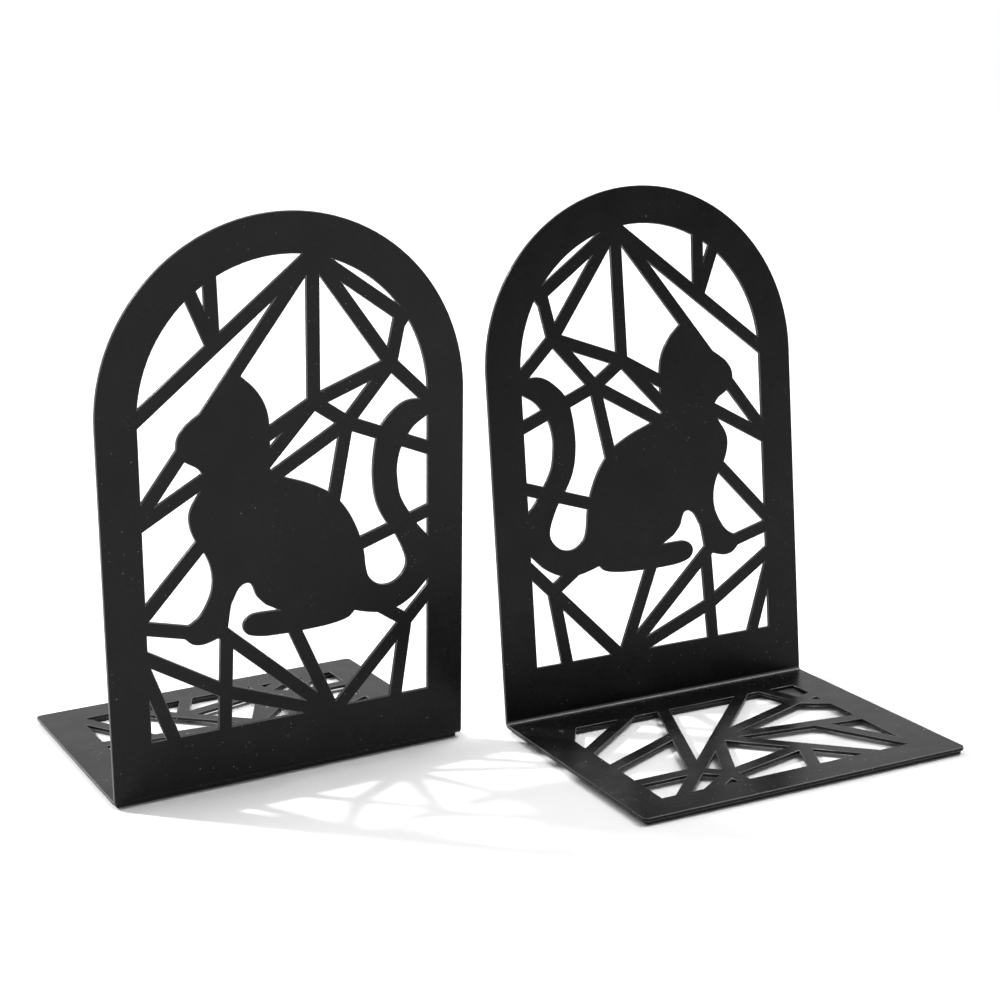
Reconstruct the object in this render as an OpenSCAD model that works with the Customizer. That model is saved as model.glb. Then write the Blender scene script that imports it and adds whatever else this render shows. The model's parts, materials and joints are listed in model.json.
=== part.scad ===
// A pair of folded sheet-steel book ends with an arched window cut in each
// upright. A sitting cat stands among straight bars in the window, and the
// base has a second window crossed by bars. Two anti-slip foam strips with
// their adhesive films are stuck under each base.
//
// Origin: centre of the pair's footprint, on the surface that it stands on.
// X runs along the uprights, Z is up and -Y is the side where the right
// book end's base lies.

/* [Folded plate] */
// Width of each book end
plate_w = 120; // [96:1:160]
// Height of the upright along its outer face, from the fold to the arch top
upright_h = 179.2; // [150:0.1:220]
// Depth of the base, from the upright's outer face to the free edge
base_d = 93; // [74:0.1:130]
// Thickness of the sheet
sheet_t = 1.2; // [0.8:0.1:2]
// Inner radius of the fold
fold_r = 1; // [0.5:0.1:3]
// Angle that the upright leans away from its base, past square
lean = 4.4; // [0:0.1:8]
// Radius of the two free corners of the base
corner_r = 2; // [1:0.5:8]

/* [Windows] */
// Width of the side rails and of the arch band beside the windows
rail_w = 12.8; // [8:0.1:20]
// Height of the rail below the upright's window, from the fold
sill_h = 19; // [10:0.5:30]
// Depth of the base's rail along its free edge
front_rail_d = 11.5; // [8:0.1:20]
// Depth of the base's rail beside the fold
rear_rail_d = 15; // [8:0.5:25]
// Width of each bar that crosses a window
bar_w = 4.5; // [3:0.1:7]

/* [Anti-slip strips] */
// Thickness of each foam strip
strip_t = 1.2; // [0.5:0.1:3]
// Thickness of the adhesive film that holds each strip
film_t = 0.1; // [0.1:0.05:0.3]
// Distance from the base's free edge to the front strip
strip_inset = 1; // [0.5:0.5:3]
// Distance from each side of the base to the strips' ends
strip_end_gap = 1.2; // [0.5:0.1:6]
// Distance from the base's window to the strips beside it
strip_window_gap = 0.2; // [0:0.1:1]
// Length of the wide end of the right book end's rear strip
tab_w = 25; // [10:1:40]
// How far that wide end reaches under the base's window
tab_d = 9; // [3:0.5:15]
// How much shorter the wide end is at its inner edge
tab_slant = 3; // [0:0.5:8]

/* [Arrangement] */
// Gap between the two book ends where they stand side by side
pair_gap = 15.2; // [5:0.1:60]
// Distance that the right book end's outer edge stands in front of the left's
pair_step = 8.9; // [0:0.1:20]
// Angle that the right book end is turned from square to the left one
pair_turn = 2.7; // [0:0.1:6]

/* [Hidden] */
$fn = 64;

// The fold: its outer radius and how far its flats start from the corner
fold_outer_r = fold_r + sheet_t;
fold_back = fold_outer_r * tan((90 - lean) / 2);

// The windows' clear sizes
window_w = plate_w - 2 * rail_w;
arch_r = plate_w / 2;
window_arch_r = window_w / 2;
spring_h = upright_h - arch_r;
window_top = spring_h + window_arch_r;
base_window_d = base_d - rear_rail_d - front_rail_d;

// The patterns are drawn on windows of these sizes and stretched to fit
drawn_window = [94.4, 147.4];
drawn_base_window = [94.4, 66.5];

// Steps on each span of a smooth outline, and round the fold
outline_steps = 5;
fold_steps = 10;

// How far each bar runs past the point where it meets others
bar_run_on = 0.5;

// How far the blocks that cut the sheet run past it
spare = 2;

// Height of a plate's underside above the surface
pad_h = strip_t + film_t;

// The pair's length along its foot, and how far the right upright's lean
// and turn carry its side past that
pair_w = 2 * plate_w + pair_gap;
pair_overhang = spring_h * sin(lean) * sin(pair_turn);

// How far the right base's foremost corner stands in front of the left fold
pair_front = pair_step + corner_r * (1 - sin(pair_turn))
    + (base_d - corner_r) * cos(pair_turn);

steel_black = [0.13, 0.13, 0.14];
foam_black = [0.06, 0.06, 0.06];
film_grey = [0.75, 0.75, 0.72];

// ---------------------------------------------------------------------
// Smooth outlines

// One point on the curve that passes through b and c, with a and d beside
function curve_point(a, b, c, d, t) =
    0.5 * (2 * b + (c - a) * t + (2 * a - 5 * b + 4 * c - d) * t * t
    + (3 * b - a - 3 * c + d) * t * t * t);

// A smooth run through all its points, whose two ends are free corners
function smooth(p) = [
    for (i = [0 : len(p) - 2], s = [0 : outline_steps - 1])
        curve_point(
            p[max(i - 1, 0)], p[i], p[i + 1], p[min(i + 2, len(p) - 1)],
            s / outline_steps
        ),
    p[len(p) - 1]
];

// ---------------------------------------------------------------------
// The upright's window pattern, measured from the lower left corner of the
// drawn window. Bars run past the window's edge and are trimmed there.

// Points where bars meet
top_hub = [56.1, 146.9];
right_knot = [81.8, 111.1];
neck_knot = [55.7, 101.5];
back_knot = [66.7, 93.8];
left_knot = [24.1, 121.4];
low_knot = [24.4, 12.1];
sill_hub = [60.7, -2];
rump_knot = [86.6, 25.4];

upright_bars = [
    // From the top hub down to the left rail, and through the cat's head
    [top_hub, [-12.8, 91.9]],
    [top_hub, [-12.8, 56]],
    // From the top hub to the right
    [top_hub, neck_knot],
    [top_hub, right_knot],
    [top_hub, [87.6, 124.5]],
    [right_knot, [85.6, 128.2]],
    [right_knot, [107.2, 86.6]],
    // Short bars between the arch and the long left bar
    [left_knot, [14, 145.7]],
    [left_knot, [23.4, 150]],
    // Between the neck and the right rail
    [neck_knot, right_knot],
    [neck_knot, [-12.8, 62.9]],
    [neck_knot, [-12.8, 27.8]],
    [neck_knot, back_knot],
    [back_knot, right_knot],
    [back_knot, [37, 76.7]],
    [back_knot, [107.2, 77.4]],
    [back_knot, [61.4, 67]],
    // Across the tail
    [[65, 52], [107.2, 65.6]],
    // From the front foot and the hind foot
    [[15, 33.2], [-12.8, 40.4]],
    [[25.35, 31.2], [23.2, -12]],
    [[22.5, 33.2], sill_hub],
    [[46, 33], sill_hub],
    // From the left rail to the sill
    [low_knot, [-12.8, 35]],
    [low_knot, sill_hub],
    [[-3.9, 30.9], [10.4, -10]],
    // From the sill to the right rail
    [sill_hub, [107.2, 46.8]],
    [[74, 34.1], rump_knot],
    [rump_knot, [81.3, -10]]
];

// The cat, clockwise from its ear tip, with a run between sharp corners
cat_outline = concat(
    // Back of the head and neck
    smooth([
        [32.3, 112], [36.2, 108.3], [39.1, 104.1], [40.8, 99.2],
        [41.2, 93], [41, 82.3]
    ]),
    // Back, rump and the outer side of the tail
    smooth([
        [42.2, 80.5], [46.3, 78.8], [53, 76.3], [60, 72.6], [64.2, 68.7],
        [67.6, 63.7], [70.3, 57.6], [72, 51.3], [72.7, 45.5], [74, 41.8],
        [77.7, 39.1], [82.4, 39.4], [86, 42.7], [86.5, 47], [83.4, 54.3],
        [79.7, 59.7], [76.8, 65.3], [75.4, 71.5], [75.2, 79], [76.5, 87.8],
        [78.4, 91.9], [81.7, 95.4], [85, 97.8], [88.2, 98.9], [92, 98.8],
        [97, 98]
    ]),
    // Inner side of the tail
    smooth([
        [97, 94.5], [93.5, 92.6], [89.3, 89.7], [85.4, 84], [83.9, 78.5],
        [83.9, 73.5], [85, 67.5], [88, 62], [91, 57.5], [94.1, 53.9],
        [97, 51.5]
    ]),
    // Underside of the tail, inside the right rail and out to the rump
    smooth([
        [97, 40.5], [93.9, 37.8], [90.1, 34], [86.6, 31.7], [84, 30.5],
        [80, 29.6], [76.2, 29.7], [71.7, 30.7], [68.5, 31.7]
    ]),
    // Haunch and hind foot
    smooth([
        [66.8, 30], [64.2, 29.1], [58.7, 28.3], [51.2, 28], [45.6, 27.9],
        [39, 28.1], [34.9, 28.7], [32, 29.8], [30.6, 32], [31.1, 34.3],
        [33.3, 36], [36.2, 36.4], [42.5, 36.2]
    ]),
    // Belly and the back of the front leg
    smooth([
        [38.3, 38.6], [35.5, 41.7], [34.2, 45.1], [33.2, 46.4],
        [31.5, 46.5], [29.6, 45.1], [28.1, 42.4], [27, 39.8], [25.9, 33.3]
    ]),
    // Front foot
    smooth([
        [22.4, 30.1], [18.5, 29], [15.9, 29], [13.8, 29.8], [11.8, 31.7]
    ]),
    // Front leg and chest
    smooth([
        [12.2, 35.6], [14.5, 36.6], [17, 38.6], [19.2, 42], [20.6, 45.3],
        [21.2, 49], [20.8, 53.4], [19.2, 57.8], [16.3, 62.6],
        [14.9, 66.3], [14.5, 70], [15.4, 73.3], [17.8, 77.2], [19.6, 80.5]
    ]),
    // Chin, muzzle and forehead
    smooth([
        [19.1, 83.4], [17.6, 85.2], [14.2, 87.3], [12, 89.5], [11.4, 91.5],
        [11.7, 94.4], [12.9, 96.7], [15.1, 99], [19.2, 101.9]
    ])
);

// ---------------------------------------------------------------------
// The base's window pattern, measured from the window's corner at the fold,
// on the side where the upright's cat faces

base_hub = [51.8, 30.7];
mid_knot = [31.5, 50.7];
edge_knot = [65.2, 59.3];
cross_knot = [73.6, 52.2];
corner_knot = [8.7, 14.6];

base_bars = [
    // The long diagonal from the fold to the free edge
    [[12.4, -10], [96.2, 76.5]],
    // From the hub to the left
    [base_hub, [-12.8, 39.7]],
    [base_hub, corner_knot],
    [base_hub, [5.9, 76.5]],
    [[16, 35.7], [-6.8, 76.5]],
    // From the middle knot to the free edge
    [mid_knot, [42.8, 76.5]],
    [mid_knot, edge_knot],
    // Around the edge knot
    [base_hub, edge_knot],
    [edge_knot, [64.2, 76.5]],
    [edge_knot, [90.2, 76.5]],
    [edge_knot, cross_knot],
    // To the right
    [cross_knot, [107.2, 52.2]],
    [cross_knot, [50.1, -10]],
    [[62.3, 21.6], [107.2, 43.1]],
    [[56.3, -10], [107.2, 31.2]],
    [[84.7, -10], [102.1, 19.5]],
    // In the corner beside the fold
    [corner_knot, [-12.8, 27.5]],
    [corner_knot, [-12.8, 7.3]],
    [[7.2, 13.8], [15.8, -10]]
];

// ---------------------------------------------------------------------
// Flat shapes

// A straight bar whose two ends run a little past their points
module bar(from, to) {
    run = to - from;
    translate(from)
        rotate(atan2(run.y, run.x))
            translate([-bar_run_on, -bar_w / 2])
                square([norm(run) + 2 * bar_run_on, bar_w]);
}

// Bars, stretched to the window's real size
module lattice(bars, stretch) {
    for (b = bars)
        bar(
            [b[0].x * stretch.x, b[0].y * stretch.y],
            [b[1].x * stretch.x, b[1].y * stretch.y]
        );
}

module cat(stretch) {
    polygon([for (p = cat_outline) [p.x * stretch.x, p.y * stretch.y]]);
}

// The openings of the upright's window, drawn flat from the corner up
module upright_openings() {
    stretch = [
        window_w / drawn_window.x,
        (window_top - sill_h) / drawn_window.y
    ];
    difference() {
        union() {
            translate([0, spring_h])
                circle(r = window_arch_r, $fn = 128);
            translate([-window_w / 2, sill_h])
                square([window_w, spring_h - sill_h]);
        }
        translate([-window_w / 2, sill_h]) {
            lattice(upright_bars, stretch);
            cat(stretch);
        }
    }
}

// What lies outside the upright's arch
module arch_offcut() {
    difference() {
        translate([-arch_r - spare, spring_h])
            square([2 * (arch_r + spare), arch_r + 2 * spare]);
        translate([0, spring_h])
            circle(r = arch_r, $fn = 128);
    }
}

// The openings of the base's window, drawn flat from the corner out
module base_openings() {
    stretch = [
        window_w / drawn_base_window.x,
        base_window_d / drawn_base_window.y
    ];
    translate([-window_w / 2, rear_rail_d])
        difference() {
            square([window_w, base_window_d]);
            lattice(base_bars, stretch);
        }
}

// What lies outside the base's two free corners
module corner_offcuts() {
    for (side = [0, 1])
        mirror([side, 0])
            translate([plate_w / 2 - corner_r, base_d - corner_r])
                difference() {
                    square(corner_r + spare);
                    circle(r = corner_r);
                }
}

// ---------------------------------------------------------------------
// Solid pieces of one book end, with the fold's outer corner on the X axis

// A point on the upright, w up from the corner and t in from its outer face
function upright_point(w, t) = [
    t * cos(lean) - w * sin(lean),
    t * sin(lean) + w * cos(lean)
];

function arc(centre, r, from, to) = [
    for (i = [0 : fold_steps])
        centre + r * [
            cos(from + (to - from) * i / fold_steps),
            sin(from + (to - from) * i / fold_steps)
        ]
];

// The sheet seen from its side, with the upright left long
module side_profile() {
    centre = [fold_back, fold_outer_r];
    polygon(concat(
        [upright_point(upright_h + spare, 0)],
        arc(centre, fold_outer_r, 180 + lean, 270),
        [[base_d, 0], [base_d, sheet_t]],
        arc(centre, fold_r, 270, 180 + lean),
        [upright_point(upright_h + spare, sheet_t)]
    ));
}

module folded_plate() {
    color(steel_black)
        difference() {
            translate([-plate_w / 2, 0, 0])
                rotate([90, 0, 90])
                    linear_extrude(plate_w)
                        side_profile();
            translate([0, 0, -spare])
                linear_extrude(sheet_t + 2 * spare) {
                    base_openings();
                    corner_offcuts();
                }
            rotate([90 + lean, 0, 0])
                translate([0, 0, -sheet_t - spare])
                    linear_extrude(sheet_t + 2 * spare) {
                        upright_openings();
                        arch_offcut();
                    }
        }
}

// Outlines of the strips, seen from above
module front_strip_outline() {
    y0 = base_d - front_rail_d + strip_window_gap;
    translate([-plate_w / 2 + strip_end_gap, y0])
        square([plate_w - 2 * strip_end_gap, base_d - strip_inset - y0]);
}

module rear_strip_outline() {
    translate([-plate_w / 2 + strip_end_gap, fold_back])
        square([
            plate_w - 2 * strip_end_gap,
            rear_rail_d - strip_window_gap - fold_back
        ]);
}

// The rear strip whose one end was cut wider
module wide_end_strip_outline() {
    side = -plate_w / 2 + strip_end_gap;
    inner = rear_rail_d - strip_window_gap;
    far_side = side + plate_w - 2 * strip_end_gap;
    polygon([
        [side, fold_back],
        [far_side, fold_back],
        [far_side, inner],
        [side + tab_w, inner],
        [side + tab_w - tab_slant, inner + tab_d],
        [side, inner + tab_d]
    ]);
}

// A film under the base, and the foam strip under its film
module film() {
    color(film_grey)
        translate([0, 0, -film_t])
            linear_extrude(film_t)
                children();
}

module foam() {
    color(foam_black)
        translate([0, 0, -film_t - strip_t])
            linear_extrude(strip_t)
                children();
}

// ---------------------------------------------------------------------
// Places of the two book ends

// The middle of the pair's footprint, from the left fold's middle corner
module pair_place() {
    translate([-pair_overhang / 2, (pair_front - base_d) / 2, pad_h])
        children();
}

module left_place() {
    pair_place()
        translate([(plate_w - pair_w) / 2, 0, 0])
            children();
}

module right_place() {
    pair_place()
        translate([pair_w / 2, -pair_step, 0])
            rotate([0, 0, 180 - pair_turn])
                translate([plate_w / 2, 0, 0])
                    children();
}

module left_plate() {
    left_place() folded_plate();
}

module left_front_film() {
    left_place() film() front_strip_outline();
}

module left_front_strip() {
    left_place() foam() front_strip_outline();
}

module left_rear_film() {
    left_place() film() rear_strip_outline();
}

module left_rear_strip() {
    left_place() foam() rear_strip_outline();
}

module right_plate() {
    right_place() folded_plate();
}

module right_front_film() {
    right_place() film() front_strip_outline();
}

module right_front_strip() {
    right_place() foam() front_strip_outline();
}

module right_rear_film() {
    right_place() film() wide_end_strip_outline();
}

module right_rear_strip() {
    right_place() foam() wide_end_strip_outline();
}

left_plate();
left_front_film();
left_front_strip();
left_rear_film();
left_rear_strip();
right_plate();
right_front_film();
right_front_strip();
right_rear_film();
right_rear_strip();
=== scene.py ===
"""Makes the pair of sheet-steel book ends ready to show, on their stage."""

import json
import math

import bmesh
import bpy
from bpy.props import FloatProperty, FloatVectorProperty, IntProperty, PointerProperty
from mathutils import Matrix, Vector

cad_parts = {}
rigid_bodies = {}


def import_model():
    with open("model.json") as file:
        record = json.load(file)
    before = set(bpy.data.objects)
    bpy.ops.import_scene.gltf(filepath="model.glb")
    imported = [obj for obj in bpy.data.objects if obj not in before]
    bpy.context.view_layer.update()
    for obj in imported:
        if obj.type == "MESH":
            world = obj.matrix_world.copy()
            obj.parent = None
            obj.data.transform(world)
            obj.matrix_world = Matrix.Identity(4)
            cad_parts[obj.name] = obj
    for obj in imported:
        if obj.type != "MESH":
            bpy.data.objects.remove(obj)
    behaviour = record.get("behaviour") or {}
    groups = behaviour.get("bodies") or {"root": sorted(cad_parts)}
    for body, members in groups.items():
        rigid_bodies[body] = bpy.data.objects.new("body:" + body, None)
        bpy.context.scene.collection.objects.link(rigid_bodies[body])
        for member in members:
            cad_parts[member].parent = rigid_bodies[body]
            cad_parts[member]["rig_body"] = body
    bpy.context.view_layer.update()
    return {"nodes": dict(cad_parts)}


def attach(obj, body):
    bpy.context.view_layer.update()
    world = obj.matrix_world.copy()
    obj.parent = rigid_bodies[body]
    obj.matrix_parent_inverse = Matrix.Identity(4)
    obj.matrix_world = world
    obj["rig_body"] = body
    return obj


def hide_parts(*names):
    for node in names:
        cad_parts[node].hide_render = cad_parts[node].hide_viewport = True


bl_info = {
    "name": "Cat Window Book Ends",
    "version": (1, 0, 0),
    "blender": (4, 5, 0),
    "location": "View3D > Sidebar > Book Ends",
    "description": "Powder-coated folded plates with foam strips, on a pale stage",
    "category": "Object",
}

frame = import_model()

PLATES = ("left_plate", "right_plate")
STRIPS = ("left_front_strip", "left_rear_strip", "right_front_strip", "right_rear_strip")
FILMS = ("left_front_film", "left_rear_film", "right_front_film", "right_rear_film")
SHEET = 0.0012  # thickness of the steel sheet

# How near two corners are joined, and how flat two facets are made one face
PLATE_WELD, STRIP_WELD = 0.00006, 0.00001
FLAT_ANGLE = math.radians(0.4)

RIM_ANGLE = math.radians(45)  # least turn between a face and a cut wall
SHARP_ANGLE = math.radians(50)  # least turn that is shaded as a sharp edge

# Slack in telling an edge or a wall that goes through the sheet by its size
EDGE_SLACK, WALL_SLACK = 0.00004, 0.0001

# A facet on the inside of the fold is longer and narrower than these
FOLD_LENGTH, FOLD_WIDTH = 50 * SHEET, SHEET / 5

# Bearings in degrees: 0 is in front, 90 on the right
KEY_AZIMUTH, KEY_ELEVATION = -135.0, 37.0
CAMERA_AZIMUTH, CAMERA_ELEVATION, CAMERA_ROLL = -28.435, 13.063, -1.444
CAMERA_AIM = Vector((0.009309, 0.004352, 0.07989))
CAMERA_DISTANCE = 0.59877

# Middle of the overhead patch, and the cosines where it starts and is full
PATCH_BEARING = Vector((0.47, -0.05, 0.88)).normalized()
PATCH_START, PATCH_FULL = 0.935, 0.965

FLOOR_DROP = 0.0001  # how far the floor lies below the strips
FLOOR_REACH = 6.0

# Heights between which dust thins out, from the base to the upright
DUST_LOW, DUST_HIGH = 0.003, 0.025
DUST_ON_UPRIGHT = 0.4  # share of the dust that stays on the steep upright

# Spacing of the specks' cells, a speck's radius in a cell, and the share of
# the cells that have one
FINE_DUST = (0.0011, 0.19, 0.12)
COARSE_DUST = (0.0042, 0.07, 0.16)

# Patterns for each metre of surface
MOTTLE_SCALE, DRIFT_SCALE, RUB_SCALE = 55.0, 28.0, 140.0
SKIN_SCALE, FILM_SCALE = 300.0, 180.0

# Values between which most of a noise lies
NOISE_LOW, NOISE_HIGH = 0.3, 0.7

# Strength and depth of each bump
PEEL_BUMP = (0.25, 0.00003)
GRAIN_BUMP = (0.35, 0.00002)
PORE_BUMP = (0.5, 0.00005)
FILM_BUMP = (0.2, 0.00001)


# ---------------------------------------------------------------------------
# Sizes and colours


class PlateLook(bpy.types.PropertyGroup):
    """The folded plates and their powder coat."""

    rim_radius: FloatProperty(
        name="Rim radius",
        description="Radius that the coat gives to the sheet's cut rims",
        default=0.00022,
        min=0.00005,
        max=0.0004,
        precision=5,
        subtype="DISTANCE",
        unit="LENGTH",
    )
    rim_steps: IntProperty(
        name="Rim steps",
        description="Facets round each rim",
        default=2,
        min=1,
        max=4,
    )
    coat: FloatVectorProperty(
        name="Coat",
        description="Colour of the powder coat",
        default=(0.0055, 0.0055, 0.0058),
        size=3,
        min=0.0,
        max=1.0,
        subtype="COLOR",
    )
    # Lighter coat colour for the rims and the inside of the fold: a painted highlight
    rim_highlight: FloatVectorProperty(
        name="Painted rim highlight",
        description="Lighter coat colour on the rims and inside the fold, a painted highlight",
        default=(0.06, 0.06, 0.061),
        size=3,
        min=0.0,
        max=1.0,
        subtype="COLOR",
    )
    dust: FloatVectorProperty(
        name="Dust",
        description="Colour of the specks of dust on the coat",
        default=(0.3, 0.3, 0.295),
        size=3,
        min=0.0,
        max=1.0,
        subtype="COLOR",
    )
    roughness: FloatProperty(
        name="Roughness",
        description="Middle roughness of the coat",
        default=0.28,
        min=0.1,
        max=1.0,
        subtype="FACTOR",
    )
    gloss: FloatProperty(
        name="Gloss",
        description="Index of refraction of the coat, which sets how much it reflects",
        default=1.23,
        min=1.0,
        max=2.0,
    )
    rim_roughness: FloatProperty(
        name="Rim roughness",
        description="Roughness of the rims, where handling has polished them",
        default=0.3,
        min=0.05,
        max=1.0,
        subtype="FACTOR",
    )
    rim_gloss: FloatProperty(
        name="Rim gloss",
        description="Index of refraction of the polished rims",
        default=1.55,
        min=1.0,
        max=2.5,
    )
    grain: FloatProperty(
        name="Grain",
        description="Size of the coat's fine grain",
        default=0.00045,
        min=0.0001,
        max=0.002,
        precision=5,
        subtype="DISTANCE",
        unit="LENGTH",
    )


class StripLook(bpy.types.PropertyGroup):
    """The foam strips and their adhesive films."""

    edge_radius: FloatProperty(
        name="Edge radius",
        description="Radius of the foam's soft edges",
        default=0.00018,
        min=0.00005,
        max=0.0004,
        precision=5,
        subtype="DISTANCE",
        unit="LENGTH",
    )
    foam: FloatVectorProperty(
        name="Foam",
        description="Colour of the foam",
        default=(0.016, 0.016, 0.017),
        size=3,
        min=0.0,
        max=1.0,
        subtype="COLOR",
    )
    cell: FloatProperty(
        name="Cell",
        description="Size of the foam's cells",
        default=0.00035,
        min=0.0001,
        max=0.002,
        precision=5,
        subtype="DISTANCE",
        unit="LENGTH",
    )
    film: FloatVectorProperty(
        name="Film",
        description="Colour of the adhesive film",
        default=(0.05, 0.05, 0.05),
        size=3,
        min=0.0,
        max=1.0,
        subtype="COLOR",
    )


class StageLook(bpy.types.PropertyGroup):
    """The floor, the lights and the camera."""

    floor: FloatVectorProperty(
        name="Floor",
        description="Colour of the floor",
        default=(0.93, 0.93, 0.93),
        size=3,
        min=0.0,
        max=1.0,
        subtype="COLOR",
    )
    surround_behind: FloatProperty(
        name="Surround behind",
        description="Brightness of the pale surround behind the book ends",
        default=1.05,
        min=0.0,
        max=4.0,
    )
    surround_front: FloatProperty(
        name="Surround in front",
        description="Brightness of the surround on the camera's side",
        default=0.33,
        min=0.0,
        max=4.0,
    )
    overhead: FloatProperty(
        name="Overhead",
        description="Brightness of the soft patch of light overhead, on the right",
        default=6.0,
        min=0.0,
        max=40.0,
    )
    key_strength: FloatProperty(
        name="Key strength",
        description="Strength of the soft key light, behind on the left",
        default=3.3,
        min=0.0,
        max=50.0,
    )
    key_spread: FloatProperty(
        name="Key spread",
        description="Angle that the key light fills, which softens its shadows",
        default=math.radians(4.0),
        min=0.0,
        max=math.radians(60.0),
        subtype="ANGLE",
    )
    lens: FloatProperty(
        name="Lens",
        description="Focal length of the camera",
        default=64.87,
        min=20.0,
        max=200.0,
        unit="CAMERA",
    )


# ---------------------------------------------------------------------------
# Shader helpers


def fresh_material(name):
    material = bpy.data.materials.new(name)
    material.use_nodes = True
    tree = material.node_tree
    tree.nodes.clear()
    output = tree.nodes.new("ShaderNodeOutputMaterial")
    shader = tree.nodes.new("ShaderNodeBsdfPrincipled")
    tree.links.new(shader.outputs["BSDF"], output.inputs["Surface"])
    return material, tree, shader


def on_object(tree, kind, **values):
    """A texture node that reads the piece's own coordinates."""
    place = tree.nodes.new("ShaderNodeTexCoord")
    texture = tree.nodes.new(kind)
    for name, value in values.items():
        texture.inputs[name].default_value = value
    tree.links.new(place.outputs["Object"], texture.inputs["Vector"])
    return texture


def spread(tree, source, low, high, to_low, to_high):
    """Maps source's values from low..high to to_low..to_high."""
    ramp = tree.nodes.new("ShaderNodeMapRange")
    ramp.inputs["From Min"].default_value = low
    ramp.inputs["From Max"].default_value = high
    ramp.inputs["To Min"].default_value = to_low
    ramp.inputs["To Max"].default_value = to_high
    tree.links.new(source, ramp.inputs["Value"])
    return ramp.outputs["Result"]


def times(tree, first, second):
    node = tree.nodes.new("ShaderNodeMath")
    node.operation = "MULTIPLY"
    tree.links.new(first, node.inputs[0])
    tree.links.new(second, node.inputs[1])
    return node.outputs["Value"]


def blend_colours(tree, share, first, second):
    """Mixes two colours; each is a socket or a plain colour."""
    mix = tree.nodes.new("ShaderNodeMix")
    mix.data_type = "RGBA"
    tree.links.new(share, mix.inputs["Factor"])
    for socket, colour in (("A", first), ("B", second)):
        put = next(s for s in mix.inputs if s.name == socket and s.type == "RGBA")
        if isinstance(colour, bpy.types.NodeSocket):
            tree.links.new(colour, put)
        else:
            put.default_value = (*colour, 1.0)
    return next(s for s in mix.outputs if s.type == "RGBA")


def raise_bumps(tree, height, size, under=None):
    """A bump of a given strength and depth, which may lie over an earlier one."""
    bump = tree.nodes.new("ShaderNodeBump")
    bump.inputs["Strength"].default_value = size[0]
    bump.inputs["Distance"].default_value = size[1]
    tree.links.new(height, bump.inputs["Height"])
    if under:
        tree.links.new(under, bump.inputs["Normal"])
    return bump.outputs["Normal"]


def dust_share(tree, spacing, radius, share):
    """1 inside small round specks that lie on a few of many cells."""
    cells = on_object(tree, "ShaderNodeTexVoronoi", Scale=1.0 / spacing)
    near = spread(tree, cells.outputs["Distance"], radius, radius * 0.6, 0.0, 1.0)
    split = tree.nodes.new("ShaderNodeSeparateColor")
    tree.links.new(cells.outputs["Color"], split.inputs["Color"])
    chosen = spread(tree, split.outputs["Red"], share, share * 0.98, 0.0, 1.0)
    return times(tree, near, chosen)


def dust_height(tree):
    """Full strength on the base, and little on the steep upright."""
    place = tree.nodes.new("ShaderNodeTexCoord")
    split = tree.nodes.new("ShaderNodeSeparateXYZ")
    tree.links.new(place.outputs["Object"], split.inputs["Vector"])
    return spread(
        tree, split.outputs["Z"], DUST_LOW, DUST_HIGH, 1.0, DUST_ON_UPRIGHT
    )


def powder_coat(name, look, colour, roughness, gloss, specks):
    """Matt black coat with a fine grain, faint mottling and specks of dust."""
    material, tree, shader = fresh_material(name)
    mottle = on_object(tree, "ShaderNodeTexNoise", Scale=MOTTLE_SCALE, Detail=4.0)
    base = blend_colours(
        tree,
        spread(tree, mottle.outputs["Fac"], NOISE_LOW, NOISE_HIGH, 0.0, 1.0),
        tuple(c * 0.8 for c in colour),
        tuple(c * 1.25 for c in colour),
    )
    if specks:
        drift = on_object(tree, "ShaderNodeTexNoise", Scale=DRIFT_SCALE, Detail=2.0)
        patches = spread(tree, drift.outputs["Fac"], 0.5, 0.62, 0.15, 1.0)
        settled = dust_height(tree)
        patches = times(tree, patches, settled)
        fine = times(tree, patches, dust_share(tree, *FINE_DUST))
        coarse = times(tree, settled, dust_share(tree, *COARSE_DUST))
        base = blend_colours(tree, fine, base, look.dust)
        base = blend_colours(tree, coarse, base, look.dust)
    tree.links.new(base, shader.inputs["Base Color"])
    rub = on_object(tree, "ShaderNodeTexNoise", Scale=RUB_SCALE, Detail=3.0)
    rubbed = spread(
        tree,
        rub.outputs["Fac"],
        NOISE_LOW,
        NOISE_HIGH,
        roughness - 0.04,
        roughness + 0.05,
    )
    tree.links.new(rubbed, shader.inputs["Roughness"])
    peel = on_object(tree, "ShaderNodeTexNoise", Scale=0.35 / look.grain, Detail=1.0)
    grain = on_object(tree, "ShaderNodeTexNoise", Scale=1.0 / look.grain, Detail=2.0)
    normal = raise_bumps(tree, peel.outputs["Fac"], PEEL_BUMP)
    normal = raise_bumps(tree, grain.outputs["Fac"], GRAIN_BUMP, normal)
    tree.links.new(normal, shader.inputs["Normal"])
    shader.inputs["Metallic"].default_value = 0.0
    shader.inputs["IOR"].default_value = gloss
    return material


def foam(name, look):
    """Matt closed-cell foam with fine pores."""
    material, tree, shader = fresh_material(name)
    pores = on_object(tree, "ShaderNodeTexVoronoi", Scale=1.0 / look.cell)
    base = blend_colours(
        tree,
        spread(tree, pores.outputs["Distance"], 0.1, 0.55, 0.0, 1.0),
        tuple(c * 0.5 for c in look.foam),
        tuple(c * 1.3 for c in look.foam),
    )
    tree.links.new(base, shader.inputs["Base Color"])
    skin = on_object(tree, "ShaderNodeTexNoise", Scale=SKIN_SCALE, Detail=2.0)
    tree.links.new(
        spread(tree, skin.outputs["Fac"], NOISE_LOW, NOISE_HIGH, 0.82, 0.95),
        shader.inputs["Roughness"],
    )
    normal = raise_bumps(tree, pores.outputs["Distance"], PORE_BUMP)
    tree.links.new(normal, shader.inputs["Normal"])
    return material


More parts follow.
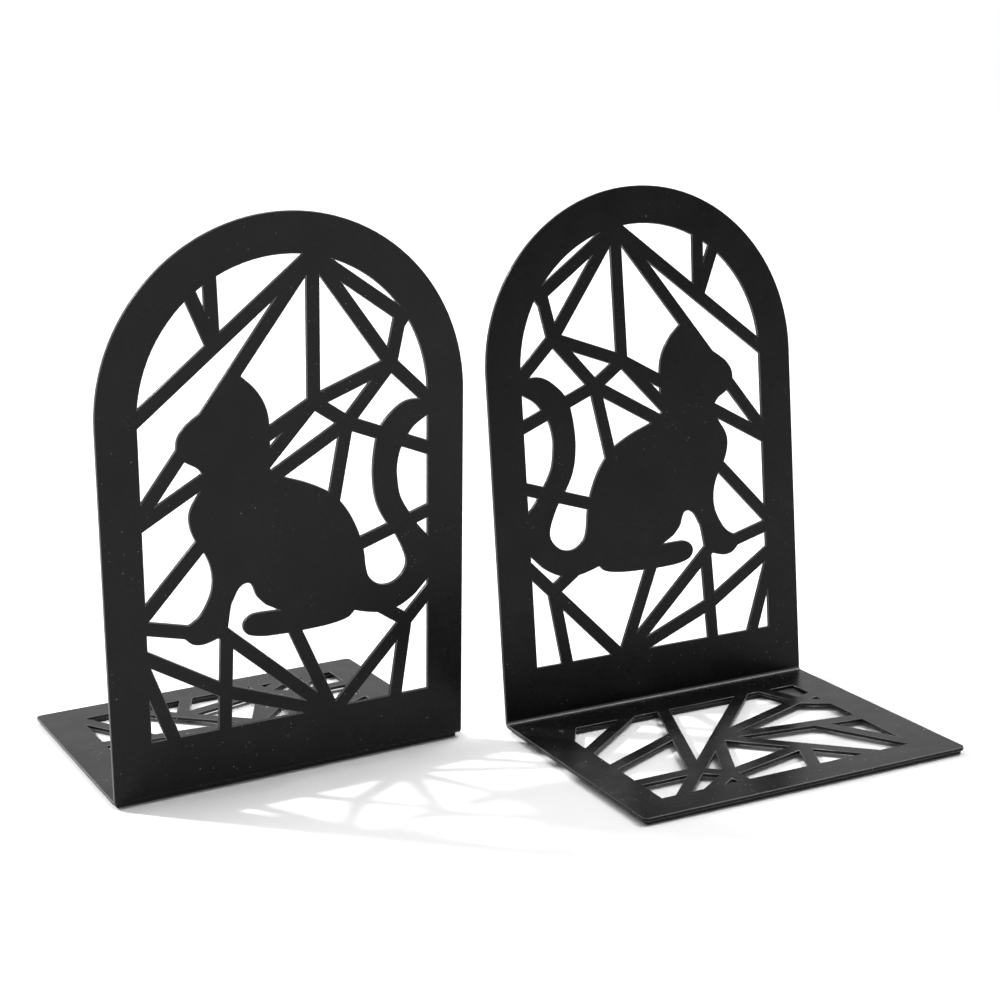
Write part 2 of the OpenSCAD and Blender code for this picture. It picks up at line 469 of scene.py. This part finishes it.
def adhesive(name, look):
    """Thin dark film with a faint mottling."""
    material, tree, shader = fresh_material(name)
    mottle = on_object(tree, "ShaderNodeTexNoise", Scale=FILM_SCALE, Detail=3.0)
    base = blend_colours(
        tree,
        spread(tree, mottle.outputs["Fac"], NOISE_LOW, NOISE_HIGH, 0.0, 1.0),
        tuple(c * 0.8 for c in look.film),
        tuple(c * 1.2 for c in look.film),
    )
    tree.links.new(base, shader.inputs["Base Color"])
    tree.links.new(
        spread(tree, mottle.outputs["Fac"], NOISE_LOW, NOISE_HIGH, 0.35, 0.5),
        shader.inputs["Roughness"],
    )
    normal = raise_bumps(tree, mottle.outputs["Fac"], FILM_BUMP)
    tree.links.new(normal, shader.inputs["Normal"])
    return material


# ---------------------------------------------------------------------------
# Mesh helpers


def solid_copy(node, weld):
    """A bmesh of a CAD node's solid, with its triangles joined into whole faces."""
    bm = bmesh.new()
    bm.from_mesh(frame["nodes"][node].data)
    bmesh.ops.remove_doubles(bm, verts=bm.verts, dist=weld)
    bmesh.ops.dissolve_limit(
        bm,
        angle_limit=FLAT_ANGLE,
        verts=bm.verts,
        edges=bm.edges,
    )
    return bm


def finished_piece(name, bm, node, slot, *materials):
    """Puts bm into a new piece that stands for a CAD node."""
    mesh = bpy.data.meshes.new(name)
    bm.to_mesh(mesh)
    bm.free()
    for material in materials:
        mesh.materials.append(material)
    piece = bpy.data.objects.new(name, mesh)
    bpy.context.scene.collection.objects.link(piece)
    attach(piece, frame["nodes"][node]["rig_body"])
    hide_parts(node)
    return piece


def even_shading(piece):
    """Smooths the rounded edges and leaves the flats flat."""
    piece.data.shade_smooth()
    piece.data.set_sharp_from_angle(angle=SHARP_ANGLE)
    weighted = piece.modifiers.new("Even shading", "WEIGHTED_NORMAL")
    weighted.mode = "FACE_AREA"
    weighted.keep_sharp = True


def is_rim(edge):
    """True where a face of the sheet meets one of its cut walls."""
    if not edge.is_manifold or edge.calc_face_angle(0.0) < RIM_ANGLE:
        return False
    return not crosses_sheet(edge)


def crosses_sheet(edge):
    """True for an edge that goes straight through the sheet."""
    return abs(edge.calc_length() - SHEET) < EDGE_SLACK and all(
        abs(face.calc_area() / max(longest_side(face), 1e-9) - SHEET) < WALL_SLACK
        for face in edge.link_faces
    )


def in_fold(face):
    """True for the long narrow facets on the inside of the fold."""
    length = longest_side(face)
    return length > FOLD_LENGTH and face.calc_area() / length < FOLD_WIDTH


def longest_side(face):
    return max(edge.calc_length() for edge in face.edges)


# ---------------------------------------------------------------------------
# Pieces


class BOOKENDS_OT_plates(bpy.types.Operator):
    """Make both folded plates with rounded rims and a powder coat"""

    bl_idname = "bookends.plates"
    bl_label = "Folded Plates"

    def execute(self, context):
        look = context.scene.bookends_plate
        coat = powder_coat(
            "powder coat", look, look.coat, look.roughness, look.gloss, True
        )
        # The rim material's lighter colour is a painted highlight on the rims and the
        # inside of the fold; its lower roughness and higher gloss are real reflection
        rim = powder_coat(
            "painted highlight rim", look, look.rim_highlight, look.rim_roughness, look.rim_gloss, False
        )
        for node in PLATES:
            bm = solid_copy(node, PLATE_WELD)
            for face in bm.faces:
                # The inside of the fold takes the rim material, with its painted
                # highlight
                if in_fold(face):
                    face.material_index = 1
            rims = [edge for edge in bm.edges if is_rim(edge)]
            made = bmesh.ops.bevel(
                bm,
                geom=rims,
                offset=look.rim_radius,
                offset_type="OFFSET",
                segments=look.rim_steps,
                profile=0.5,
                affect="EDGES",
                clamp_overlap=False,
                material=-1,
            )
            # The rounded rims take the rim material, with its painted highlight
            for face in made["faces"]:
                face.material_index = 1
            name = node.replace("_plate", "_coated_plate")
            piece = finished_piece(name, bm, node, "black_steel", coat, rim)
            even_shading(piece)
        return {"FINISHED"}


class BOOKENDS_OT_strips(bpy.types.Operator):
    """Make the foam strips under the bases, with soft edges"""

    bl_idname = "bookends.strips"
    bl_label = "Foam Strips"

    def execute(self, context):
        look = context.scene.bookends_strip
        material = foam("black foam", look)
        for node in STRIPS:
            bm = solid_copy(node, STRIP_WELD)
            bmesh.ops.bevel(
                bm,
                geom=list(bm.edges),
                offset=look.edge_radius,
                offset_type="OFFSET",
                segments=3,
                profile=0.5,
                affect="EDGES",
                clamp_overlap=True,
                material=-1,
            )
            name = node.replace("_strip", "_foam_strip")
            piece = finished_piece(name, bm, node, "foam", material)
            even_shading(piece)
        return {"FINISHED"}


class BOOKENDS_OT_films(bpy.types.Operator):
    """Give the adhesive films their finish"""

    bl_idname = "bookends.films"
    bl_label = "Adhesive Films"

    def execute(self, context):
        material = adhesive("adhesive film", context.scene.bookends_strip)
        for node in FILMS:
            mesh = frame["nodes"][node].data
            mesh.materials.clear()
            mesh.materials.append(material)
        return {"FINISHED"}


# ---------------------------------------------------------------------------
# Stage


def bearing(azimuth, elevation):
    """Unit vector towards a viewer or light at these angles in degrees."""
    turn, lift = math.radians(azimuth), math.radians(elevation)
    return Vector(
        (
            math.sin(turn) * math.cos(lift),
            -math.cos(turn) * math.cos(lift),
            math.sin(lift),
        )
    )


def pale_floor(look):
    bm = bmesh.new()
    bmesh.ops.create_grid(bm, x_segments=1, y_segments=1, size=FLOOR_REACH)
    bmesh.ops.translate(bm, verts=bm.verts, vec=(0.0, 0.0, -FLOOR_DROP))
    mesh = bpy.data.meshes.new("floor")
    bm.to_mesh(mesh)
    bm.free()
    material, tree, shader = fresh_material("pale floor")
    shader.inputs["Base Color"].default_value = (*look.floor, 1.0)
    shader.inputs["Roughness"].default_value = 0.75
    shader.inputs["Specular IOR Level"].default_value = 0.2
    mesh.materials.append(material)
    floor = bpy.data.objects.new("floor", mesh)
    bpy.context.scene.collection.objects.link(floor)


def pale_surround(look):
    """A surround bright behind and overhead and dimmer in front, seen as plain white."""
    world = bpy.data.worlds.new("surround")
    bpy.context.scene.world = world
    world.use_nodes = True
    tree = world.node_tree
    tree.nodes.clear()
    output = tree.nodes.new("ShaderNodeOutputWorld")
    background = tree.nodes.new("ShaderNodeBackground")
    tree.links.new(background.outputs["Background"], output.inputs["Surface"])
    place = tree.nodes.new("ShaderNodeTexCoord")
    split = tree.nodes.new("ShaderNodeSeparateXYZ")
    tree.links.new(place.outputs["Generated"], split.inputs["Vector"])
    depth = spread(
        tree, split.outputs["Y"], -0.5, 0.6, look.surround_front, look.surround_behind
    )
    toward = tree.nodes.new("ShaderNodeVectorMath")
    toward.operation = "DOT_PRODUCT"
    toward.inputs[1].default_value = PATCH_BEARING
    tree.links.new(place.outputs["Generated"], toward.inputs[0])
    patch = spread(
        tree, toward.outputs["Value"], PATCH_START, PATCH_FULL, 0.0, look.overhead
    )
    both = tree.nodes.new("ShaderNodeMath")
    both.operation = "ADD"
    tree.links.new(depth, both.inputs[0])
    tree.links.new(patch, both.inputs[1])
    path = tree.nodes.new("ShaderNodeLightPath")
    mix = tree.nodes.new("ShaderNodeMix")
    mix.inputs["B"].default_value = 1.0
    tree.links.new(path.outputs["Is Camera Ray"], mix.inputs["Factor"])
    tree.links.new(both.outputs["Value"], mix.inputs["A"])
    tree.links.new(mix.outputs["Result"], background.inputs["Strength"])
    background.inputs["Color"].default_value = (1.0, 1.0, 1.0, 1.0)


def key_light(look, azimuth, elevation):
    """A soft distant light that shines from the given bearing."""
    away = bearing(azimuth, elevation)
    data = bpy.data.lights.new("key", "SUN")
    data.angle = look.key_spread
    data.energy = look.key_strength
    lamp = bpy.data.objects.new("key", data)
    lamp.rotation_mode = "QUATERNION"
    lamp.location = away
    lamp.rotation_quaternion = (-away).to_track_quat("-Z", "Y")
    bpy.context.scene.collection.objects.link(lamp)


def main_camera(look):
    """The camera, in front on the left, a little above the arches' middle."""
    back = bearing(CAMERA_AZIMUTH, CAMERA_ELEVATION)
    roll = math.radians(CAMERA_ROLL)
    right = Vector((0.0, 0.0, 1.0)).cross(back).normalized()
    up = back.cross(right)
    turned = Matrix((right, up, back)).transposed()
    data = bpy.data.cameras.new("camera")
    data.lens = look.lens
    data.sensor_width = 36.0
    data.clip_start = 0.01
    data.clip_end = 50.0
    camera = bpy.data.objects.new("camera", data)
    bpy.context.scene.collection.objects.link(camera)
    place = turned.to_4x4() @ Matrix.Rotation(roll, 4, "Z")
    place.translation = CAMERA_AIM + back * CAMERA_DISTANCE
    camera.matrix_world = place
    bpy.context.scene.camera = camera


class BOOKENDS_OT_stage(bpy.types.Operator):
    """Set the pale floor, the soft lights and the camera"""

    bl_idname = "bookends.stage"
    bl_label = "Stage"

    def execute(self, context):
        look = context.scene.bookends_stage
        pale_floor(look)
        pale_surround(look)
        key_light(look, KEY_AZIMUTH, KEY_ELEVATION)
        main_camera(look)
        context.scene.view_settings.view_transform = "Standard"
        context.scene.view_settings.look = "None"
        return {"FINISHED"}


class BOOKENDS_PT_panel(bpy.types.Panel):
    """The book ends' pieces and stage"""

    bl_idname = "BOOKENDS_PT_panel"
    bl_label = "Book Ends"
    bl_space_type = "VIEW_3D"
    bl_region_type = "UI"
    bl_category = "Book Ends"

    def draw(self, context):
        scene = context.scene
        for title, look, operators in (
            ("Plates", scene.bookends_plate, ("bookends.plates",)),
            ("Strips", scene.bookends_strip, ("bookends.strips", "bookends.films")),
            ("Stage", scene.bookends_stage, ("bookends.stage",)),
        ):
            box = self.layout.box()
            box.label(text=title)
            for name in look.__annotations__:
                box.prop(look, name)
            for operator in operators:
                box.operator(operator)


CLASSES = (
    PlateLook,
    StripLook,
    StageLook,
    BOOKENDS_OT_plates,
    BOOKENDS_OT_strips,
    BOOKENDS_OT_films,
    BOOKENDS_OT_stage,
    BOOKENDS_PT_panel,
)


def register():
    for cls in CLASSES:
        bpy.utils.register_class(cls)
    bpy.types.Scene.bookends_plate = PointerProperty(type=PlateLook)
    bpy.types.Scene.bookends_strip = PointerProperty(type=StripLook)
    bpy.types.Scene.bookends_stage = PointerProperty(type=StageLook)


def unregister():
    del bpy.types.Scene.bookends_stage
    del bpy.types.Scene.bookends_strip
    del bpy.types.Scene.bookends_plate
    for cls in reversed(CLASSES):
        bpy.utils.unregister_class(cls)


def main():
    register()
    bpy.ops.bookends.plates()
    bpy.ops.bookends.strips()
    bpy.ops.bookends.films()
    bpy.ops.bookends.stage()


if __name__ == "__main__":
    main()
